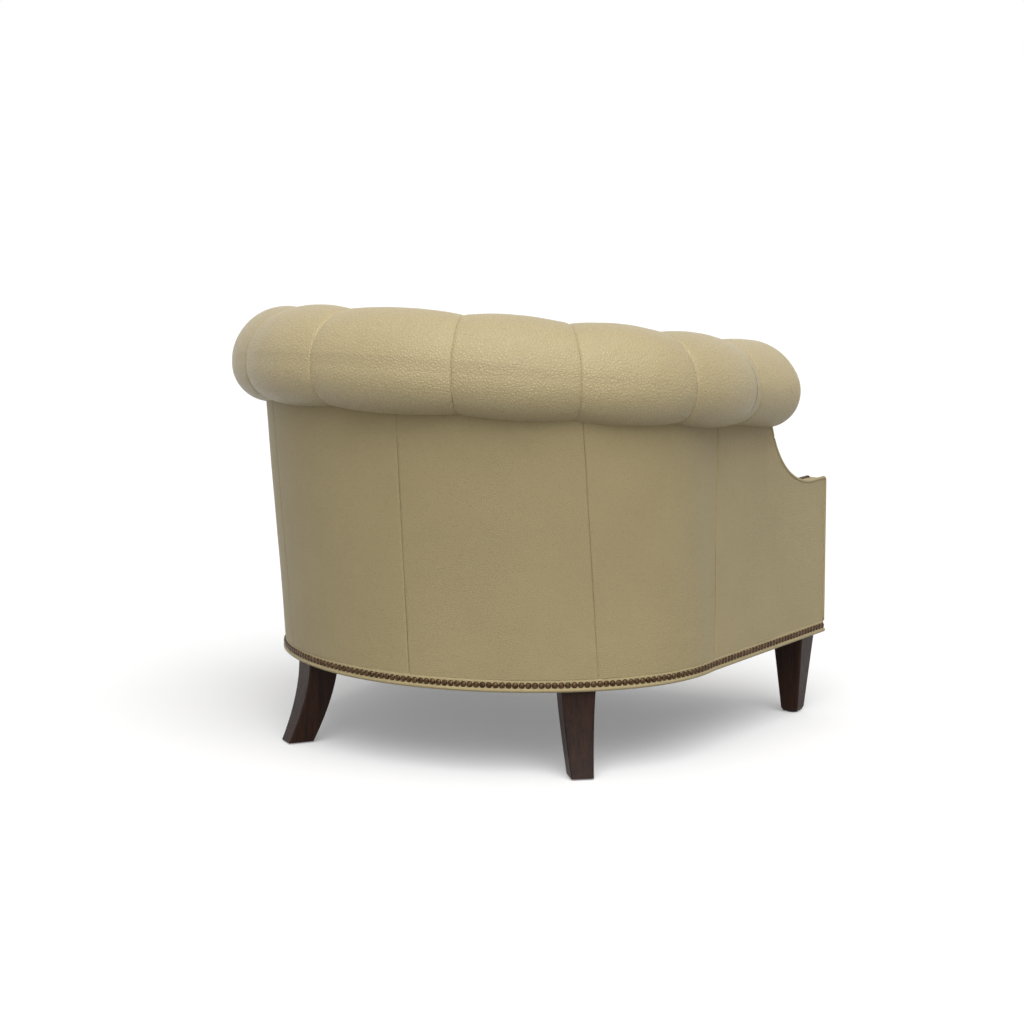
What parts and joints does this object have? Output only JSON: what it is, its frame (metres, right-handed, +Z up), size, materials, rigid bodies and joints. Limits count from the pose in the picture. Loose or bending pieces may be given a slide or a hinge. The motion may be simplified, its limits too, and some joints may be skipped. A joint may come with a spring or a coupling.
{
  "type": "leather tub chair",
  "caption": "Low barrel-backed leather club chair with a channel-tufted padded roll, scooped arms, nailhead trim, loose T-shaped seat cushion and dark wood legs.",
  "frame": {"origin": "on the floor under the middle of the chair's box", "axes": "+Z up, the sitter faces -Y, +X is the sitter's left"},
  "size_m": [1.0086, 0.92, 0.8133],
  "materials": {
    "roll_leather": "pebbled olive tan hide, satin",
    "panel_leather": "smoother olive tan hide, satin",
    "cushion_leather": "pebbled olive tan hide, satin",
    "dark_wood": "espresso stain, satin lacquer",
    "frame_wood": "raw birch",
    "nail_bronze": "antique bronze",
    "steel": "zinc plated",
    "nylon": "matt nylon",
    "webbing": "jute",
    "deck_cloth": "woven deck cloth",
    "dust_cloth": "black cambric"
  },
  "bodies": {
    "chair": {"arm_board_left": "frame_wood", "arm_board_right": "frame_wood", "arm_channel_left": "roll_leather", "arm_channel_right": "roll_leather", "arm_cover_left": "panel_leather", "arm_cover_right": "panel_leather", "arm_nailheads_left": "nail_bronze", "arm_nailheads_right": "nail_bronze", "back_channel_1_left": "roll_leather", "back_channel_1_right": "roll_leather", "back_channel_2_left": "roll_leather", "back_channel_2_right": "roll_leather", "back_channel_3_left": "roll_leather", "back_channel_3_right": "roll_leather", "back_channel_centre": "roll_leather", "back_post_centre": "frame_wood", "back_post_left": "frame_wood", "back_post_right": "frame_wood", "back_rail": "frame_wood", "back_webbing": "webbing", "base_band": "panel_leather", "base_nailheads": "nail_bronze", "corner_gusset_left": "frame_wood", "corner_gusset_right": "frame_wood", "deck_pad": "deck_cloth", "dust_cover": "dust_cloth", "front_border": "panel_leather", "front_leg_left": "dark_wood", "front_leg_right": "dark_wood", "front_rail": "frame_wood", "leg_bolts": "steel", "leg_glides": "nylon", "leg_inserts": "steel", "outside_arm_left": "panel_leather", "outside_arm_right": "panel_leather", "outside_back_left": "panel_leather", "outside_back_right": "panel_leather", "outside_quarter_left": "panel_leather", "outside_quarter_right": "panel_leather", "rear_leg_block_left": "frame_wood", "rear_leg_block_right": "frame_wood", "rear_leg_left": "dark_wood", "rear_leg_right": "dark_wood", "roll_facing_left": "panel_leather", "roll_facing_right": "panel_leather", "seat_springs": "steel", "side_post_left": "frame_wood", "side_post_right": "frame_wood", "side_rail_left": "frame_wood", "side_rail_right": "frame_wood", "spring_clips": "steel", "spring_cover": "deck_cloth", "top_rail": "frame_wood"},
    "cushion": {"seat_cushion": "cushion_leather"}
  },
  "joints": [
    {"name": "cushion_pull_out", "type": "slide", "parent": "chair", "child": "cushion", "axis": [0, -1, 0], "range_m": [0, 0.62]}
  ]
}
